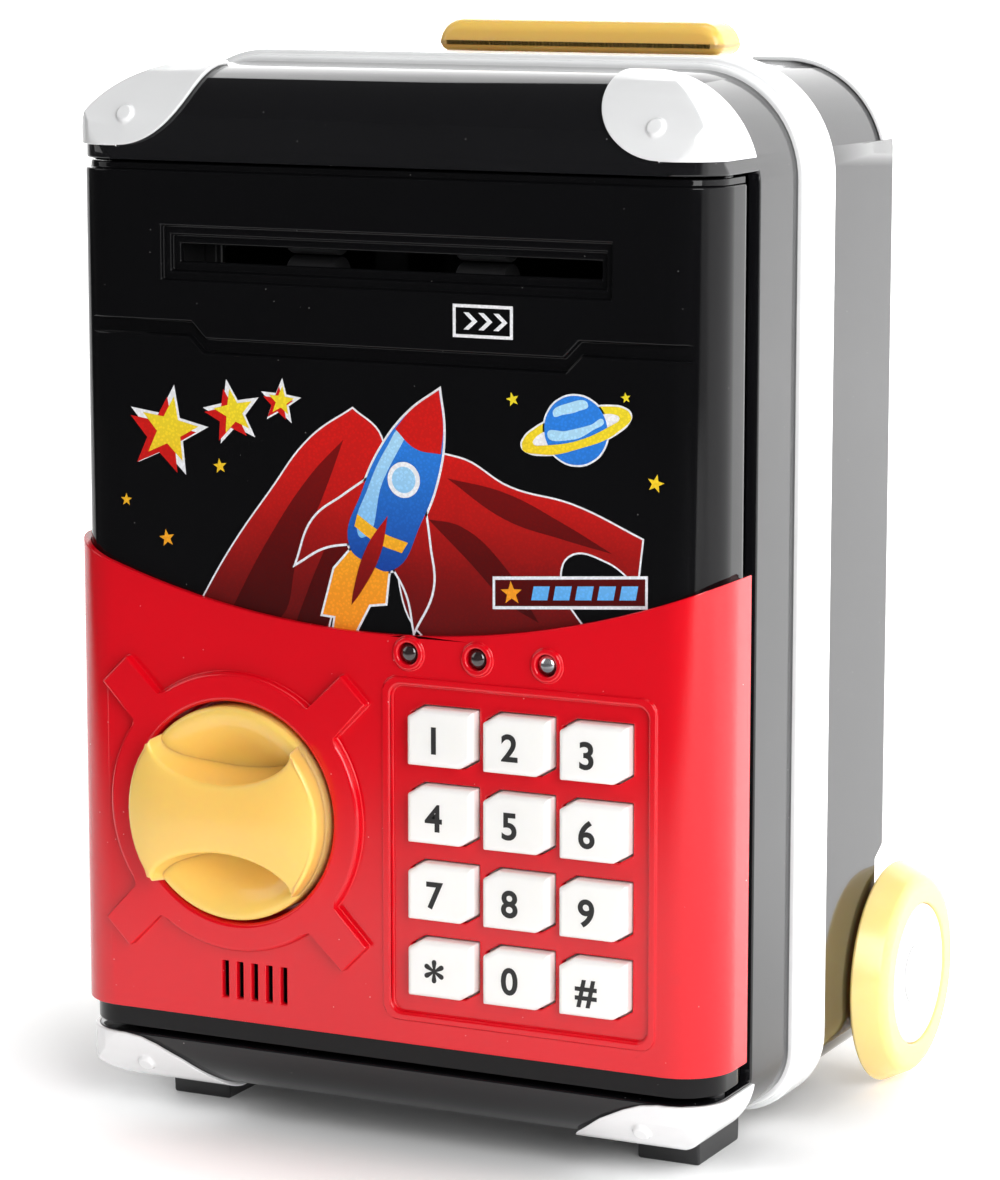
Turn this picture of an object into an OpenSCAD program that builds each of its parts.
// Toy cash machine money box in the shape of a cabin suitcase.
// The front faces -Y, +X is to the viewer's right and +Z is up.
// Heights and depths here are measured from the case's own datum. placed() then
// stands the whole object on the table, with its footprint's middle at the origin.

/* [Case] */
// Width of the case and of its door
case_w = 136; // [134:0.5:138]
// Height of the case's underside above the datum
case_bottom = 3.2; // [3:0.1:3.6]
// Height of the case's top above the datum
case_top = 204.1; // [203:0.1:205]
// Wall thickness of the case shells
wall = 2.6; // [2:0.1:3]
// Depth of the case, front face to back face
case_d = 91.8; // [91.4:0.1:92.2]
// Corner radius of the outline, upper corners
top_corner_r = 20.5; // [18:0.5:21]
// Corner radius of the outline, lower corners
low_corner_r = 12; // [11:0.5:13]
// Radius of the brow, where the header's front rolls into its top
brow_r = 17.5; // [16:0.5:17.5]
// Radius of the sill's lower front edge
sill_r = 11; // [10:0.5:11]
// Radius of the upright front edges of header and sill
side_r = 9.5; // [8:0.5:10]
// Radius of the rounded back edges
back_r = 9; // [7:0.5:10]
// Rounding of the upright back edges of the case
back_side_r = 3; // [2.8:0.1:3.4]
// How far the white hoop stands proud of the shells
rim_proud = 2.2; // [1.8:0.1:2.4]

/* [Door] */
// Thickness of the door
door_d = 18.1; // [18:0.1:18.4]
// Height of the door's lower edge
door_bottom = 14.8; // [14.6:0.1:15]
// Height of the door's upper edge
door_top = 184.7; // [184.2:0.1:185]
// Wall thickness of the door shell
door_wall = 2.5; // [2.4:0.1:2.8]
// Thickness of the red lower cover over the door
cover_t = 1.6; // [1.4:0.1:1.7]
// Middle height of the note slot
slot_z = 168.9; // [168:0.1:169.5]
// Width of the note slot's opening
slot_w = 89; // [84:1:90]
// Height of the note slot's opening
slot_h = 3.35; // [3:0.05:3.6]

/* [Dial] */
// Sideways place of the dial's axis
dial_x = -31; // [-32:0.5:-30]
// Height of the dial's axis
dial_z = 61.2; // [60.5:0.1:62]
// Radius of the yellow knob
knob_r = 21.1; // [20.5:0.1:21.2]
// Outer radius of the red ring around the knob
ring_r = 27.6; // [27:0.1:28]

/* [Keypad] */
// Sideways place of the first column of keys
key_x0 = 13.8; // [13.6:0.1:14]
// Height of the top row of keys
key_z0 = 79.8; // [79.6:0.1:80]
// Distance between columns
key_pitch_x = 15.9; // [15.8:0.05:16]
// Distance between rows
key_pitch_z = 14.96; // [14.8:0.02:15]
// Width of a key's face
key_w = 14; // [13.6:0.1:14]
// Height of a key's face
key_h = 11.2; // [10.8:0.1:11.4]
// How far a key travels when it is pressed
key_travel = 1.5; // [1:0.1:1.5]

/* [Wheels and handle] */
// Radius of the wheels at their inner edge
wheel_r = 22.6; // [22.4:0.1:22.8]
// Width of a wheel with its cap
wheel_w = 6.8; // [6.4:0.1:7.2]
// How far the axle stands behind the case's back face
axle_back = 1.3; // [1:0.1:1.6]
// Half the distance between the handle's two tubes
tube_x = 24; // [22:0.5:26]
// Width of the handle's grip
grip_w = 64; // [60:1:66]

/* [Hidden] */
$fn = 64;
KEYS = ["key_1", "key_2", "key_3", "key_4", "key_5", "key_6",
        "key_7", "key_8", "key_9", "key_star", "key_0", "key_hash"];
LEDS = ["led_left", "led_middle", "led_right"];

// Where the datum stands: above the table, and behind the footprint's middle
stand_z = 3.9;
shift_y = -1.5;

// Depths along Y, front to back
front_y = -52;
door_back_y = front_y + door_d;
side_front_y = front_y + 20.9;
tunnel_y = side_front_y - 0.5;
rim_front_y = -12.2;
rim_back_y = 3.5;
back_y = front_y + case_d;
door_in_y = front_y + door_wall;
cover_y = front_y - cover_t;

// Heights and half widths
half_w = case_w / 2;
header_bottom = door_top + 1.8;
sill_top = door_bottom - 1.2;
cover_bottom = 19.1;
cover_mid_top = 98.6;
cover_arc_r = 180;

// Corner guards
guard_t = 0.9;
guard_gap = 0.03;
top_guard_back = -33;
low_guard_back = -31;
low_guard_under = -36;

// Hinge: pins on one upright axis inside the door's right edge
hinge_x = half_w - 4.5;
hinge_y = front_y + 13.5;
pin_r = 2;
pin_gap = 0.1;
hinge_barrel_r = 4.5;
header_pin_in = 6;
sill_pin_in = 4;
door_pin_in = 12;

// Dial, shaft and latch
ring_in_r = knob_r + 0.8;
ring_front_y = cover_y - 1.9;
well_r = ring_in_r + 1.6;
well_floor_y = front_y + 3.5;
knob_back_y = well_floor_y - 0.3;
knob_rim_y = ring_front_y - 1.2;
knob_front_y = knob_rim_y - 5.8;
shaft_r = 4;
shaft_gap = 0.1;
keeper_y = side_front_y + 1.1;
cam_y = keeper_y + 2.5;
cam_t = 2;
cam_len = 31.5;
shaft_end_y = cam_y + cam_t;

// Keypad tray and keys
tray_x0 = 2.7;
tray_x1 = 56.3;
tray_z0 = 25.5;
tray_z1 = 89.2;
tray_floor_y = cover_y + 0.7;
tray_back_y = front_y + 1.2;
key_front_y = cover_y - 1.9;
key_gap = 0.25;
flange_out = 0.7;
flange_t = 1;
flange_front_y = tray_back_y + 0.2;
mat_top_y = flange_front_y + flange_t + key_travel + 0.2;
mat_t = 1.2;
mat_dome_h = 1.5;
board_y = mat_top_y + mat_dome_h + mat_t;
board_t = 1.6;
led_x0 = 6.6;
led_pitch = 14.45;
led_z = 95.4;
led_r = 2;

// Note feed: two geared rollers behind the slot, driven from below
feed_y = -43;
feed_r = 4.6;
idler_r = 4.1;
roller_gap = 0.3;
gear_m = 0.6;
feed_teeth = 16;
idler_teeth = 14;
pinion_teeth = 12;
feed_z = slot_z + roller_gap / 2 + feed_r;
idler_z = feed_z - gear_m * (feed_teeth + idler_teeth) / 2;
motor_z = idler_z - gear_m * (idler_teeth + pinion_teeth) / 2;
plate_x = 47;
plate_t = 1.5;
gear_x = plate_x + plate_t + 1;
gear_w = 3.5;
feed_shaft_r = 1.5;
bearing_gap = 0.1;
motor_r = 6;
motor_len = 15;

// Batteries in the back of the door
cell_r = 7.25;
cell_len = 50.5;
cell_pitch = 15;
cell_y = -41.5;
cell_z0 = 112;
box_x = 30.5;
box_z0 = 103;
box_z1 = 151;

// Screws of the door's back cover, as [x, z]
DOOR_SCREWS = [[-60, 24], [54, 24], [-60, 146], [54, 146]];

// Speaker behind its five slots
speaker_x = -27.6;
speaker_z = 27.4;
speaker_r = 10;

// Wheels and axle
axle_y = back_y + axle_back;
axle_z = wheel_r - stand_z;
axle_r = 2;
axle_out_x = 72;
saddle_x = half_w - 0.6;
wheel_in_x = half_w + 0.4;
tyre_w = wheel_w;
tyre_out_r = wheel_r - 2;
cap_r = 14.5;
cap_in = 2.2;
cut_x = 60;
cut_y = 33.5;

// Handle
tube_r = 2.25;
tube_gap = 0.15;
tube_y = 43;
tube_bottom_z = 70;
housing_z0 = 52;
housing_z1 = 196;
housing_x = 33;
housing_back_y = 47;
grip_y = 40.5;
grip_top = 211.3;
grip_bottom = case_top + 0.5;
screw_r = 1.4;
screw_head_r = 3;

// ---------- helpers ----------

// Extrude a drawing in X and Z along Y, from y0 to y1
module along_y(y0, y1) {
    translate([0, y1, 0]) rotate([90, 0, 0]) linear_extrude(y1 - y0) children();
}

// Extrude a drawing in Y and Z along X, from x0 to x1
module along_x(x0, x1) {
    translate([x0, 0, 0]) rotate([90, 0, 90]) linear_extrude(x1 - x0) children();
}

// Extrude a plan drawing from z0 to z1
module along_z(z0, z1) {
    translate([0, 0, z0]) linear_extrude(z1 - z0) children();
}

// A rod along X, Y or Z between two stations
module rod_x(x0, x1, y, z, r) {
    translate([x0, y, z]) rotate([0, 90, 0]) cylinder(h = x1 - x0, r = r);
}
module rod_y(x, y0, y1, z, r) {
    translate([x, y0, z]) rotate([-90, 0, 0]) cylinder(h = y1 - y0, r = r);
}
module rod_z(x, y, z0, z1, r) {
    translate([x, y, z0]) cylinder(h = z1 - z0, r = r);
}

// A box given by its two opposite corners
module span(low, high) {
    translate(low) cube(high - low);
}

// What a fillet removes from a corner at the origin, with the body at +x +y
module corner_waste(r) {
    difference() {
        translate([-1, -1]) square(r + 1);
        translate([r, r]) circle(r);
    }
}

// A rectangle from (x0, z0) to (x1, z1) with round corners
module round_box_2d(x0, z0, x1, z1, r) {
    translate([x0 + r, z0]) square([x1 - x0 - 2 * r, z1 - z0]);
    translate([x0, z0 + r]) square([x1 - x0, z1 - z0 - 2 * r]);
    for (x = [x0 + r, x1 - r], z = [z0 + r, z1 - r])
        translate([x, z]) circle(r);
}

// The suitcase outline, grown outwards by g
module outline(g) {
    difference() {
        translate([-half_w - g, case_bottom - g])
            square([case_w + 2 * g, case_top - case_bottom + 2 * g]);
        for (s = [-1, 1]) {
            translate([s * (half_w + g), case_bottom - g])
                mirror([s > 0 ? 1 : 0, 0]) corner_waste(low_corner_r + g);
            translate([s * (half_w + g), case_top + g])
                mirror([s > 0 ? 1 : 0, 0]) mirror([0, 1]) corner_waste(top_corner_r + g);
        }
    }
}

// The front half of the suitcase as a solid, grown by g, back to y1
module front_block(g, y1) {
    intersection() {
        along_y(front_y - g, y1) outline(g);
        along_x(-half_w - g - 1, half_w + g + 1) difference() {
            translate([front_y - g, case_bottom - g - 1])
                square([y1 - front_y + g, case_top - case_bottom + 2 * g + 1]);
            translate([front_y - g, case_top + g]) mirror([0, 1]) corner_waste(brow_r + g);
            translate([front_y - g, case_bottom - g]) corner_waste(sill_r + g);
            translate([front_y - g - 1, case_bottom - g - 2]) square([case_d, 2]);
        }
        along_z(case_bottom - g - 1, case_top + g + 1) difference() {
            translate([-half_w - g, front_y - g]) square([case_w + 2 * g, y1 - front_y + g]);
            for (s = [-1, 1])
                translate([s * (half_w + g), front_y - g])
                    mirror([s > 0 ? 1 : 0, 0]) corner_waste(side_r + g);
        }
    }
}

// The back half of the suitcase as a solid, grown by g, from y0
module rear_block(g, y0) {
    intersection() {
        along_y(y0, back_y + g) outline(g);
        along_x(-half_w - g - 1, half_w + g + 1) difference() {
            translate([y0, case_bottom - g - 1])
                square([back_y - y0 + g, case_top - case_bottom + 2 * g + 2]);
            translate([back_y + g, case_top + g])
                mirror([1, 0]) mirror([0, 1]) corner_waste(back_r + g);
            translate([y0 - 1, case_top + g]) square([case_d, 2]);
        }
        along_z(case_bottom - g - 1, case_top + g + 1) difference() {
            translate([-half_w - g, y0]) square([case_w + 2 * g, back_y - y0 + g]);
            for (s = [-1, 1])
                translate([s * (half_w + g), back_y + g])
                    mirror([s > 0 ? 1 : 0, 0]) mirror([0, 1]) corner_waste(back_side_r + g);
        }
    }
}

// ---------- case ----------

module front_shell() {
    color("#131317") difference() {
        front_block(0, rim_front_y);
        // room behind the door
        along_y(tunnel_y, rim_front_y + 1) outline(-wall);
        // doorway, open to both sides
        span([-half_w - 1, front_y - 1, sill_top], [half_w + 1, side_front_y, header_bottom]);
        // hollows of the header and the sill, clear of the hinge
        span([-58, front_y + 5, header_bottom + wall], [54, tunnel_y + 1, case_top - 8.6]);
        span([-52, front_y + 8, case_bottom + wall], [54, tunnel_y + 1, sill_top - wall]);
        rod_z(hinge_x, hinge_y, header_bottom - 1, header_bottom + header_pin_in, pin_r);
        rod_z(hinge_x, hinge_y, sill_top - sill_pin_in, sill_top + 1, pin_r);
    }
}

module mid_rim() {
    edge = 2;
    color("#f4f4f2") difference() {
        union() {
            along_y(rim_front_y, rim_back_y) outline(rim_proud / 2);
            along_y(rim_front_y + edge, rim_back_y - edge) outline(rim_proud);
        }
        along_y(rim_front_y - 1, rim_back_y + 1) outline(-wall);
    }
}

// Side view of the lower back corner that is cut away behind a wheel, grown by g
module wheel_cut_2d(g) {
    polygon([[back_y + 1, 47.8 + g], [cut_y - g, 43.6 + g], [cut_y - g, -1], [back_y + 1, -1]]);
}

module rear_shell() {
    color("#131317") difference() {
        union() {
            difference() {
                rear_block(0, rim_back_y);
                difference() {
                    rear_block(-wall, rim_back_y - 1);
                    for (s = [0, 1])
                        mirror([s, 0, 0]) along_x(cut_x - wall, half_w) wheel_cut_2d(wall);
                }
                for (s = [0, 1])
                    mirror([s, 0, 0]) along_x(cut_x, half_w + 1) wheel_cut_2d(0);
            }
            // saddle that carries the axle
            along_x(-saddle_x, saddle_x)
                round_box_2d(back_y - 8, axle_z - 7, axle_y + 6, axle_z + 7, 4);
            // columns that the case screws bite into
            for (x = [-52, 52], z = [72, 170])
                rod_y(x, rim_back_y + 6, back_y - 1, z, 3.6);
        }
        rod_x(-half_w, half_w, axle_y, axle_z, axle_r);
        for (x = [-52, 52], z = [72, 170]) {
            rod_y(x, rim_back_y + 8, back_y + 1, z, screw_r);
            rod_y(x, back_y - 2, back_y + 1, z, screw_head_r);
        }
    }
}

// Outline of an upper guard on the right: a round lobe beside an upright strip
module top_guard_2d() {
    intersection() {
        translate([35, 189.2]) square([half_w, case_top]);
        union() {
            translate([57, 180]) square([20, 40]);
            translate([57, 203.5]) circle(r = 14.2);
        }
    }
}

// Long low leaf outline of a lower guard on the right
module bottom_guard_2d() {
    polygon([
        [36, case_bottom - 2], [37.5, case_bottom - 0.2], [39.2, 4.6], [41.4, 6.1], [45.5, 9],
        [50.7, 11.6], [54.3, 12.9], [57.9, 13.4], [half_w + 3, 13.4], [half_w + 3, case_bottom - 2]
    ]);
}

// A domed rivet head, standing on the plane z = 0
module rivet() {
    translate([0, 0, -0.3]) cylinder(h = 1.1, r1 = 2.1, r2 = 1.5);
}

// Rivet head on the front of an upper guard, square to the brow
module top_rivet() {
    tilt = asin(8.2 / brow_r);
    translate([55.7, front_y + brow_r, case_top - brow_r]) rotate([90 - tilt, 0, 0])
        translate([0, 0, brow_r + guard_t]) rivet();
}

// Rivet head on the front of a lower guard, square to the sill's rounded edge
module bottom_rivet() {
    tilt = asin(6.4 / sill_r);
    translate([54, front_y + sill_r, case_bottom + sill_r]) rotate([90 + tilt, 0, 0])
        translate([0, 0, sill_r + guard_t]) rivet();
}

// A thin moulded guard on a front corner: child 0 is its outline, child 1 its rivet.
// back is its rear edge on the side, under its rear edge below or above the case
module front_guard(s, back, under) {
    mirror([s < 0 ? 1 : 0, 0, 0]) color("#f4f4f2") union() {
        intersection() {
            difference() {
                front_block(guard_t, rim_front_y - 9);
                front_block(0, rim_front_y - 8);
            }
            along_y(front_y - 3, back) children(0);
            along_z(case_bottom - 3, case_top + 3) union() {
                translate([30, front_y - 3]) square([half_w, under - front_y + 3]);
                translate([59.5, front_y - 3]) square([20, back - front_y + 3]);
            }
        }
        children(1);
    }
}

module corner_guard_top_left() {
    front_guard(-1, top_guard_back, top_guard_back) { top_guard_2d(); top_rivet(); }
}
module corner_guard_top_right() {
    front_guard(1, top_guard_back, top_guard_back) { top_guard_2d(); top_rivet(); }
}
module corner_guard_bottom_left() {
    front_guard(-1, low_guard_back, low_guard_under) { bottom_guard_2d(); bottom_rivet(); }
}
module corner_guard_bottom_right() {
    front_guard(1, low_guard_back, low_guard_under) { bottom_guard_2d(); bottom_rivet(); }
}

// A thin guard on a rear upper corner
module rear_guard(s) {
    mirror([s < 0 ? 1 : 0, 0, 0]) color("#f4f4f2") intersection() {
        difference() {
            rear_block(guard_t, 31);
            rear_block(guard_gap, 30);
        }
        span([40, 31.6, 189], [half_w + 2, back_y + 2, case_top + 2]);
    }
}
module rear_guard_left() { rear_guard(-1); }
module rear_guard_right() { rear_guard(1); }

// A block foot under the case, a little wider at its root
module foot(s) {
    foot_x = 45.2;
    foot_w = 13;
    foot_y = -33;
    foot_d = 19.5;
    color("#1a1a1c") mirror([s < 0 ? 1 : 0, 0, 0]) difference() {
        along_x(foot_x, foot_x + foot_w) polygon([
            [foot_y, -stand_z], [foot_y + foot_d, -stand_z],
            [foot_y + foot_d + 0.6, case_bottom + 5], [foot_y - 0.6, case_bottom + 5]
        ]);
        front_block(0, rim_front_y);
    }
}
module foot_left() { foot(-1); }
module foot_right() { foot(1); }

module hinge_pin_top() {
    color("silver") rod_z(hinge_x, hinge_y, door_top - door_pin_in, header_bottom + header_pin_in, pin_r);
}
module hinge_pin_bottom() {
    color("silver") rod_z(hinge_x, hinge_y, sill_top - sill_pin_in, door_bottom + door_pin_in, pin_r);
}

// Angle plate on the left side wall that the latch arm turns behind
module latch_keeper() {
    in_x = half_w - wall;
    color("silver") union() {
        span([-in_x, keeper_y, dial_z - 11], [-in_x + 7, keeper_y + 2, dial_z + 11]);
        span([-in_x, keeper_y, dial_z - 11], [-in_x + 1.2, keeper_y + 10, dial_z + 11]);
    }
}

module rear_axle() {
    color("silver") rod_x(-axle_out_x, axle_out_x, axle_y, axle_z, axle_r);
}

// Cover on the back that guides the two handle tubes
module handle_housing() {
    color("#131317") difference() {
        along_y(back_y, housing_back_y) round_box_2d(-housing_x, housing_z0, housing_x, housing_z1, 6);
        along_y(back_y + 3, housing_back_y + 1) round_box_2d(-16, housing_z0 + 10, 16, housing_z1 - 10, 5);
        for (s = [-1, 1])
            rod_z(s * tube_x, tube_y, housing_z0 + 6, housing_z1 + 1, tube_r + tube_gap);
    }
}

module case_screws() {
    color("silver") for (x = [-52, 52], z = [72, 170]) {
        rod_y(x, rim_back_y + 8, back_y - 1, z, screw_r);
        difference() {
            rod_y(x, back_y - 2, back_y - 0.2, z, screw_head_r);
            span([x - 2, back_y - 1.2, z - 0.4], [x + 2, back_y, z + 0.4]);
            span([x - 0.4, back_y - 1.2, z - 2], [x + 0.4, back_y, z + 2]);
        }
    }
}

// ---------- door ----------

// Plan of the door, grown by g at the front and sides: round front edges, round hinge edge
module door_plan(g) {
    back_r_left = 2;
    difference() {
        translate([-half_w - g, front_y - g]) square([case_w + 2 * g, door_d + g]);
        translate([-half_w - g, front_y - g]) corner_waste(9 + g);
        translate([half_w + g, front_y - g]) mirror([1, 0]) corner_waste(9 + g);
        translate([half_w, door_back_y]) mirror([1, 0]) mirror([0, 1]) corner_waste(hinge_barrel_r);
        translate([-half_w, door_back_y]) mirror([0, 1]) corner_waste(back_r_left);
    }
}

// Inside plan of the door shell, clear of the hinge barrel
module door_room_plan() {
    difference() {
        translate([-half_w + door_wall, door_in_y]) square([case_w - 2 * door_wall, door_d]);
        translate([-half_w + door_wall, door_in_y]) corner_waste(6.5);
        translate([half_w - door_wall, door_in_y]) mirror([1, 0]) corner_waste(6.5);
        translate([hinge_x, hinge_y]) circle(hinge_barrel_r);
        translate([hinge_x - 1, hinge_y - hinge_barrel_r]) square([9, 12]);
    }
}

// Line of the groove between the two halves of the door's face
module seam_2d() {
    polygon([
        [-half_w - 1, 153.25], [-41.5, 153.25], [-38.4, 150.05], [38.4, 150.05], [41.5, 153.25], [half_w + 1, 153.25],
        [half_w + 1, 155.95], [41.0, 155.95], [37.9, 152.75], [-37.9, 152.75], [-41.0, 155.95], [-half_w - 1, 155.95]
    ]);
}

// The five upright sound slots
module speaker_slots(y0, y1) {
    slot_len = 7.3;
    slot_t = 1.4;
    for (i = [-2:2])
        span([speaker_x + 3.25 * i - slot_t / 2, y0, speaker_z - slot_len / 2],
             [speaker_x + 3.25 * i + slot_t / 2, y1, speaker_z + slot_len / 2]);
}

module door_shell() {
    color("#131317") difference() {
        union() {
            difference() {
                along_z(door_bottom, door_top) door_plan(0);
                along_z(door_bottom + door_wall, door_top - door_wall) door_room_plan();
            }
            // thicker wall around the note slot
            span([-49, door_in_y - 0.5, 161.5], [49, door_in_y + 1.4, 176.5]);
            // lip along the front and sides of the door's top, close under the header
            along_z(door_top - 0.5, door_top + 1.4) difference() { door_plan(-1); door_plan(-2.2); }
        }
        // groove across the face
        along_y(front_y - 1, front_y + 1.3) seam_2d();
        // note slot: a bevelled mouth in two steps, then the slit
        span([-slot_w / 2 - 3, front_y - 1, slot_z - 5.1], [slot_w / 2 + 3, front_y + 1.2, slot_z + 5.3]);
        span([-slot_w / 2 - 1.5, front_y, slot_z - 3.4], [slot_w / 2 + 1.5, front_y + 2.4, slot_z + 3.5]);
        span([-slot_w / 2, front_y, slot_z - slot_h / 2], [slot_w / 2, door_in_y + 2, slot_z + slot_h / 2]);
        // dial well, keypad, lamps and sound slots
        rod_y(dial_x, front_y - 1, door_in_y + 1, dial_z, well_r + 0.15);
        span([tray_x0 - 1.8, front_y - 1, tray_z0 - 1.8], [tray_x1 + 1.8, door_in_y + 1, tray_z1 + 1.8]);
        for (i = [0:2])
            rod_y(led_x0 + led_pitch * i, front_y - 1, door_in_y + 1, led_z, led_r + 0.1);
        speaker_slots(front_y - 1, door_in_y + 1);
        // hinge bores, top and bottom
        rod_z(hinge_x, hinge_y, door_top - door_pin_in - 0.5, door_top + 1, pin_r + pin_gap);
        rod_z(hinge_x, hinge_y, door_bottom - 1, door_bottom + door_pin_in + 0.5, pin_r + pin_gap);
    }
}

// Face outline of a key, grown by g: two opposite corners are cut off
module key_2d(g) {
    w = key_w / 2 + g;
    h = key_h / 2 + g;
    cut_x = 3;
    cut_z = 1.8;
    polygon([[-w, -h], [w - cut_x, -h], [w, -h + cut_z], [w, h], [-w + cut_x, h], [-w, h - cut_z]]);
}

// Place something at the n-th key
module at_key(n) {
    translate([key_x0 + key_pitch_x * (n % 3), key_z0 - key_pitch_z * floor(n / 3)]) children();
}

module lower_cover() {
    lug_w = 7.7;
    lug_out_r = 37.3;
    color("#c8000f") difference() {
        union() {
            // skin over the front and around both sides of the door
            difference() {
                along_z(cover_bottom, 120) difference() {
                    door_plan(cover_t);
                    door_plan(0);
                    translate([-half_w - 3, front_y + 15]) square([case_w + 6, 10]);
                }
                rod_y(0, cover_y - 1, door_back_y + 1, cover_mid_top + cover_arc_r, cover_arc_r);
            }
            // floor and collar of the keypad tray, reaching into the door
            along_y(cover_y - 0.5, tray_back_y)
                round_box_2d(tray_x0 - 1.6, tray_z0 - 1.6, tray_x1 + 1.6, tray_z1 + 1.6, 3);
            // dial ring and the well behind it
            rod_y(dial_x, ring_front_y, cover_y + 0.5, dial_z, ring_r);
            rod_y(dial_x, cover_y, well_floor_y + 1.6, dial_z, well_r);
            // four lugs around the ring
            for (a = [45:90:315])
                translate([dial_x, 0, dial_z]) rotate([0, a, 0])
                    span([ring_r - 1, ring_front_y, -lug_w / 2], [lug_out_r, cover_y + 0.5, lug_w / 2]);
            // collars of the three lamps
            for (i = [0:2])
                rod_y(led_x0 + led_pitch * i, cover_y - 0.8, cover_y + 0.5, led_z, 3.2);
        }
        // keypad recess and the holes for the keys
        along_y(cover_y - 2, tray_floor_y) round_box_2d(tray_x0, tray_z0, tray_x1, tray_z1, 2.4);
        for (n = [0:11])
            along_y(cover_y - 2, tray_back_y + 1) at_key(n) key_2d(key_gap);
        // room for the knob, and its shaft's bore
        rod_y(dial_x, ring_front_y - 1, well_floor_y, dial_z, ring_in_r);
        rod_y(dial_x, well_floor_y - 1, well_floor_y + 3, dial_z, shaft_r + shaft_gap);
        for (i = [0:2])
            rod_y(led_x0 + led_pitch * i, cover_y - 2, front_y + 1, led_z, led_r + 0.1);
        speaker_slots(cover_y - 1, front_y + 1);
    }
}

module door_back_cover() {
    cover_in = 2;
    color("#1a1a1c") difference() {
        union() {
            span([-half_w + door_wall + 0.2, door_back_y - cover_in, door_bottom + door_wall + 0.2],
                 [hinge_x - 5, door_back_y, door_top - door_wall - 0.2]);
            // walls of the battery box
            span([-box_x, door_in_y + 0.2, box_z0], [box_x, door_back_y - 0.5, box_z1]);
            // bearing tube for the dial's shaft
            rod_y(dial_x, well_floor_y + 5, door_back_y, dial_z, shaft_r + 2);
        }
        span([-box_x + 1.5, door_in_y - 1, box_z0 + 1.5], [box_x - 1.5, door_back_y + 1, box_z1 - 1.5]);
        // window over the note rollers
        span([-slot_w / 2, door_back_y - 3, 158], [slot_w / 2, door_back_y + 1, 177]);
        rod_y(dial_x, well_floor_y, door_back_y + 1, dial_z, shaft_r + shaft_gap);
        for (p = DOOR_SCREWS)
            rod_y(p[0], door_back_y - 3, door_back_y + 1, p[1], screw_r);
    }
}

module battery_cover() {
    color("#222225") union() {
        span([-box_x - 1, door_back_y, box_z0 - 1], [box_x + 1, door_back_y + 1.6, box_z1 + 1]);
        for (i = [-3:3])
            span([-14, door_back_y + 1.5, box_z0 + 5 + 1.8 * (i + 3)],
                 [14, door_back_y + 2, box_z0 + 5.8 + 1.8 * (i + 3)]);
    }
}

// Three cells side by side, the middle one turned round
module batteries() {
    color("#b08a3c") for (i = [0:2]) {
        turn = i == 1 ? -1 : 1;
        z = cell_z0 + cell_pitch * i;
        union() {
            rod_x(-cell_len / 2, cell_len / 2, cell_y, z, cell_r);
            rod_x(turn > 0 ? cell_len / 2 - 1 : -cell_len / 2 - 1, turn > 0 ? cell_len / 2 + 1 : -cell_len / 2 + 1,
                  cell_y, z, 2.7);
        }
    }
}

module battery_contacts() {
    plate_t = 0.5;
    color("silver") for (i = [0:2], s = [-1, 1]) {
        z = cell_z0 + cell_pitch * i;
        span([s > 0 ? box_x - 2 : -box_x + 1.5, cell_y - 5, z - 5],
             [s > 0 ? box_x - 1.5 : -box_x + 1.5 + plate_t, cell_y + 5, z + 5]);
    }
}

module circuit_board() {
    color("#1d5c34") union() {
        span([1, board_y, 22], [57, board_y + board_t, 101]);
        span([20, board_y + board_t - 0.2, 40], [36, board_y + board_t + 1.2, 56]);
        span([8, board_y + board_t - 0.2, 70], [16, board_y + board_t + 3, 76]);
        rod_y(46, board_y + board_t - 0.2, board_y + board_t + 3.4, 80, 3);
    }
}

// Rubber mat with one dome behind each key
module keypad_mat() {
    color("#8c8c90") union() {
        span([tray_x0, mat_top_y + mat_dome_h, tray_z0], [tray_x1, board_y, tray_z1]);
        for (n = [0:11])
            along_y(mat_top_y, mat_top_y + mat_dome_h + 0.2) at_key(n) circle(4);
    }
}

module speaker() {
    color("#3a3a3e") union() {
        rod_y(speaker_x, door_in_y + 0.2, door_in_y + 3.5, speaker_z, speaker_r - 0.2);
        rod_y(speaker_x, door_in_y + 3, door_in_y + 8, speaker_z, 6);
    }
}

// One lamp: round lens, flange behind the door wall, two legs down to the board
module led(i) {
    x = led_x0 + led_pitch * i;
    color("#4a4a4c") union() {
        rod_y(x, cover_y - 0.6, door_in_y + 0.5, led_z, led_r);
        rod_y(x, door_in_y + 0.2, door_in_y + 1.2, led_z, led_r + 0.7);
        for (s = [-1, 1])
            rod_y(x + s * 1.2, door_in_y + 1, board_y, led_z, 0.3);
    }
}

module feed_motor() {
    color("silver") union() {
        rod_x(plate_x - motor_len, plate_x, feed_y, motor_z, motor_r);
        rod_x(plate_x - 1, plate_x + plate_t, feed_y, motor_z, 1.6);
        rod_x(plate_x, gear_x + gear_w, feed_y, motor_z, 0.75);
    }
}

// Two side plates and a tie bar that hold both rollers and the motor
module feed_bracket() {
    color("#d8d8d4") difference() {
        union() {
            for (x = [-plate_x - plate_t, plate_x])
                span([x, door_in_y + 1.6, 152], [x + plate_t, door_back_y - 2.3, 180.5]);
            span([-plate_x - 1, door_back_y - 5.5, 179], [plate_x + 1, door_back_y - 2.3, 180.5]);
        }
        for (z = [feed_z, idler_z])
            rod_x(-plate_x - 3, plate_x + 3, feed_y, z, feed_shaft_r + bearing_gap);
        rod_x(plate_x - 1, plate_x + 3, feed_y, motor_z, 1.6);
    }
}

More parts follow.
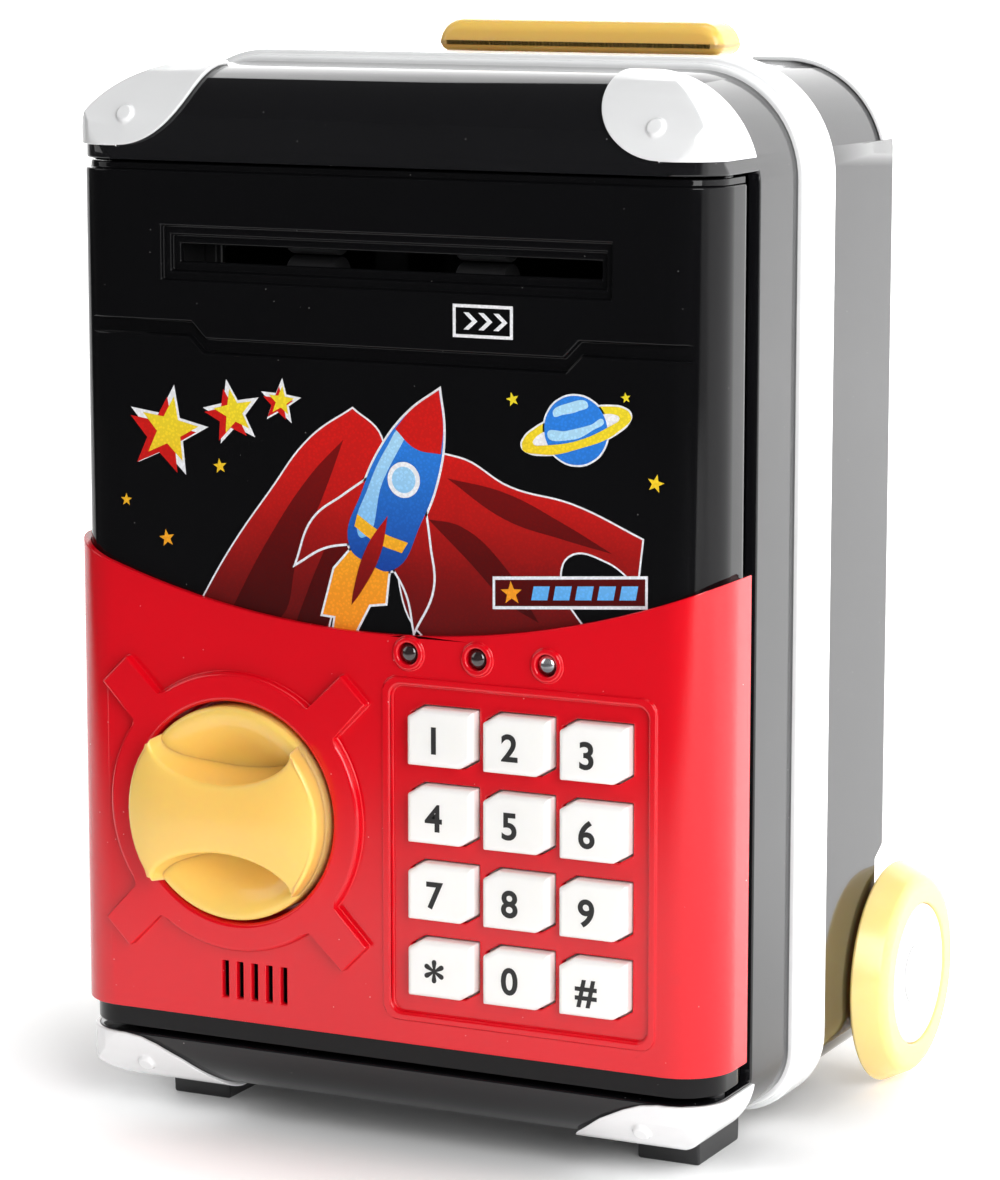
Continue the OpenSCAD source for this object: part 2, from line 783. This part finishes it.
module door_screws() {
    color("silver") for (p = DOOR_SCREWS) {
        rod_y(p[0], door_back_y - 6, door_back_y, p[1], screw_r);
        difference() {
            rod_y(p[0], door_back_y, door_back_y + 1.2, p[1], screw_head_r);
            span([p[0] - 2, door_back_y + 0.5, p[1] - 0.4], [p[0] + 2, door_back_y + 2, p[1] + 0.4]);
        }
    }
}

// ---------- dial ----------

// Front outline of the grip bar: wide at both ends, narrow in the middle
module bar_2d() {
    waist_r = 37;
    difference() {
        circle(r = knob_r - 0.1);
        for (s = [-1, 1])
            translate([0, s * (6.8 + waist_r)]) circle(r = waist_r, $fn = 160);
    }
}

module dial_knob() {
    scoop_r = 26;
    color("#ffd86b") difference() {
        union() {
            difference() {
                rod_y(dial_x, knob_rim_y, knob_back_y, dial_z, knob_r);
                // finger scoops above and below the bar
                for (s = [-1, 1])
                    translate([dial_x, knob_rim_y - 20.8, dial_z + s * 12]) sphere(r = scoop_r);
            }
            along_y(knob_front_y, knob_back_y - 1) translate([dial_x, dial_z]) bar_2d();
            rod_y(dial_x, knob_back_y - 1, shaft_end_y, dial_z, shaft_r);
        }
        // hollow back and the screw's hole
        difference() {
            rod_y(dial_x, knob_back_y - 2, knob_back_y + 1, dial_z, knob_r - 2);
            rod_y(dial_x, knob_back_y - 3, knob_back_y + 2, dial_z, shaft_r + 2);
        }
        rod_y(dial_x, shaft_end_y - 12, shaft_end_y + 1, dial_z, screw_r);
        // flats that the latch arm drives on
        for (s = [-1, 1])
            span([s > 0 ? dial_x + 3 : dial_x - 6, cam_y - 0.1, dial_z - 6],
                 [s > 0 ? dial_x + 6 : dial_x - 3, shaft_end_y + 1, dial_z + 6]);
    }
}

// Latch arm on the shaft's end; it hangs down when the dial is unlocked
module latch_cam() {
    arm_w = 8;
    color("silver") difference() {
        union() {
            rod_y(dial_x, cam_y, cam_y + cam_t, dial_z, 7);
            span([dial_x - arm_w / 2, cam_y, dial_z - cam_len + arm_w / 2],
                 [dial_x + arm_w / 2, cam_y + cam_t, dial_z]);
            rod_y(dial_x, cam_y, cam_y + cam_t, dial_z - cam_len + arm_w / 2, arm_w / 2);
        }
        intersection() {
            rod_y(dial_x, cam_y - 1, cam_y + cam_t + 1, dial_z, shaft_r);
            span([dial_x - 3, cam_y - 2, dial_z - 6], [dial_x + 3, cam_y + cam_t + 2, dial_z + 6]);
        }
    }
}

module cam_screw() {
    color("silver") difference() {
        union() {
            rod_y(dial_x, shaft_end_y - 10, shaft_end_y, dial_z, screw_r);
            rod_y(dial_x, shaft_end_y, shaft_end_y + 1.6, dial_z, 4.6);
        }
        span([dial_x - 3, shaft_end_y + 0.8, dial_z - 0.4], [dial_x + 3, shaft_end_y + 3, dial_z + 0.4]);
    }
}

// ---------- keys ----------

module key(n) {
    color("white") union() {
        along_y(key_front_y, flange_front_y + 0.5) at_key(n) key_2d(0);
        along_y(flange_front_y, flange_front_y + flange_t) at_key(n) key_2d(flange_out);
    }
}

// ---------- note feed ----------

function involute_turn(a) = tan(a) * 180 / PI - a;

// One side of a gear tooth, as polar points [angle from the tooth's middle, radius]
function flank(teeth) =
    let (rp = gear_m * teeth / 2, rb = rp * cos(20), tip = rp + 0.8 * gear_m, slack = 2.2)
    [for (i = [0:3])
        let (r = max(rb, rp - 0.9 * gear_m) * (1 - i / 3) + tip * i / 3, a = acos(min(1, rb / r)))
        [90 / teeth - slack - (involute_turn(a) - involute_turn(20)), r]];

// Spur gear outline with tooth number 0 pointing along the given angle
module gear_2d(teeth, angle) {
    rows = len(flank(teeth));
    root = gear_m * teeth / 2 - 1.05 * gear_m;
    points = [for (t = [0:teeth - 1]) let (mid = angle + t * 360 / teeth, f = flank(teeth)) each concat(
        [[root * cos(mid - f[0][0]), root * sin(mid - f[0][0])]],
        [for (i = [0:rows - 1]) [f[i][1] * cos(mid - f[i][0]), f[i][1] * sin(mid - f[i][0])]],
        [for (i = [rows - 1:-1:0]) [f[i][1] * cos(mid + f[i][0]), f[i][1] * sin(mid + f[i][0])]],
        [[root * cos(mid + f[0][0]), root * sin(mid + f[0][0])]]
    )];
    polygon(points);
}

// A gear on a shaft along X
module gear(teeth, z, angle) {
    along_x(gear_x, gear_x + gear_w) translate([feed_y, z]) gear_2d(teeth, angle);
}

// Driven shaft with its gear
module feed_shaft() {
    color("#c9ccd0") union() {
        rod_x(-plate_x - 3, gear_x + gear_w, feed_y, feed_z, feed_shaft_r);
        gear(feed_teeth, feed_z, -90);
    }
}

// Two rubber tyres on the driven shaft
module feed_tyres() {
    color("#2b2b2d") for (s = [-1, 1]) difference() {
        rod_x(s * 18 - 5, s * 18 + 5, feed_y, feed_z, feed_r);
        rod_x(s * 18 - 6, s * 18 + 6, feed_y, feed_z, feed_shaft_r);
    }
}

// Lower roller, moulded in one with its gear, a gap facing the driven gear
module idler_roller() {
    color("#1a1a1c") union() {
        rod_x(-plate_x - 3, gear_x + gear_w, feed_y, idler_z, feed_shaft_r);
        for (s = [-1, 1])
            rod_x(s * 18 - 5, s * 18 + 5, feed_y, idler_z, idler_r);
        gear(idler_teeth, idler_z, 90 + 180 / idler_teeth);
    }
}

module motor_pinion() {
    color("#d9b44a") difference() {
        gear(pinion_teeth, motor_z, 90);
        rod_x(gear_x - 1, gear_x + gear_w + 1, feed_y, motor_z, 0.85);
    }
}

// ---------- wheels ----------

// Section of a tyre from its inner face at x = 0: it tapers out to a round shoulder
module tyre_2d() {
    shoulder = 3;
    difference() {
        union() {
            polygon([
                [0, 5], [tyre_w, 5], [tyre_w, tyre_out_r - shoulder],
                [tyre_w - shoulder, tyre_out_r], [0, wheel_r]
            ]);
            translate([tyre_w - shoulder, tyre_out_r - shoulder]) circle(shoulder);
        }
        translate([tyre_w - cap_in, 0]) square([4, cap_r]);
    }
}

module tyre(s) {
    color("#ffd86b") mirror([s < 0 ? 1 : 0, 0, 0]) translate([wheel_in_x, axle_y, axle_z]) rotate([0, 90, 0])
        rotate_extrude() rotate([0, 0, 90]) mirror([0, 1]) tyre_2d();
}

// White cap with a hub boss that runs on the axle
module hub_cap(s) {
    seat = tyre_w - cap_in;
    color("#f4f4f2") mirror([s < 0 ? 1 : 0, 0, 0]) translate([wheel_in_x, axle_y, axle_z]) rotate([0, 90, 0])
        difference() {
            union() {
                cylinder(h = seat + 0.5, r = 4.95);
                translate([0, 0, seat]) cylinder(h = 1.5, r = cap_r - 0.05);
                translate([0, 0, seat + 1.4]) cylinder(h = 0.5, r1 = cap_r - 0.4, r2 = cap_r - 1.4);
            }
            translate([0, 0, -1]) cylinder(h = seat + 1.8, r = axle_r + 0.1);
        }
}

// ---------- handle ----------

module handle_grip() {
    color("#ffd86b") difference() {
        intersection() {
            along_x(-grip_w / 2, grip_w / 2)
                round_box_2d(grip_y - 6, grip_bottom, grip_y + 6, grip_top, 3.2);
            along_y(grip_y - 7, grip_y + 7) union() {
                translate([-grip_w / 2, grip_bottom]) square([grip_w, grip_top - grip_bottom - 5]);
                round_box_2d(-grip_w / 2, grip_bottom - 6, grip_w / 2, grip_top, 5);
            }
        }
        for (s = [-1, 1])
            rod_z(s * tube_x, tube_y, grip_bottom - 1, grip_top - 2.5, tube_r);
    }
}

module handle_tube(s) {
    color("silver") rod_z(s * tube_x, tube_y, tube_bottom_z, grip_top - 2.5, tube_r);
}

// ---------- assembly ----------

module placed() {
    translate([0, shift_y, stand_z]) children();
}

placed() front_shell();
placed() mid_rim();
placed() rear_shell();
placed() corner_guard_top_left();
placed() corner_guard_top_right();
placed() corner_guard_bottom_left();
placed() corner_guard_bottom_right();
placed() rear_guard_left();
placed() rear_guard_right();
placed() foot_left();
placed() foot_right();
placed() hinge_pin_top();
placed() hinge_pin_bottom();
placed() latch_keeper();
placed() rear_axle();
placed() handle_housing();
placed() case_screws();
placed() door_shell();
placed() lower_cover();
placed() door_back_cover();
placed() battery_cover();
placed() batteries();
placed() battery_contacts();
placed() circuit_board();
placed() keypad_mat();
placed() speaker();
for (i = [0:2]) placed() led(i);
placed() feed_motor();
placed() feed_bracket();
placed() door_screws();
placed() dial_knob();
placed() latch_cam();
placed() cam_screw();
for (n = [0:11]) placed() key(n);
placed() feed_shaft();
placed() feed_tyres();
placed() idler_roller();
placed() motor_pinion();
placed() tyre(-1);  // tyre_left
placed() hub_cap(-1);  // hub_cap_left
placed() tyre(1);  // tyre_right
placed() hub_cap(1);  // hub_cap_right
placed() handle_grip();
placed() handle_tube(-1);  // handle_tube_left
placed() handle_tube(1);  // handle_tube_right
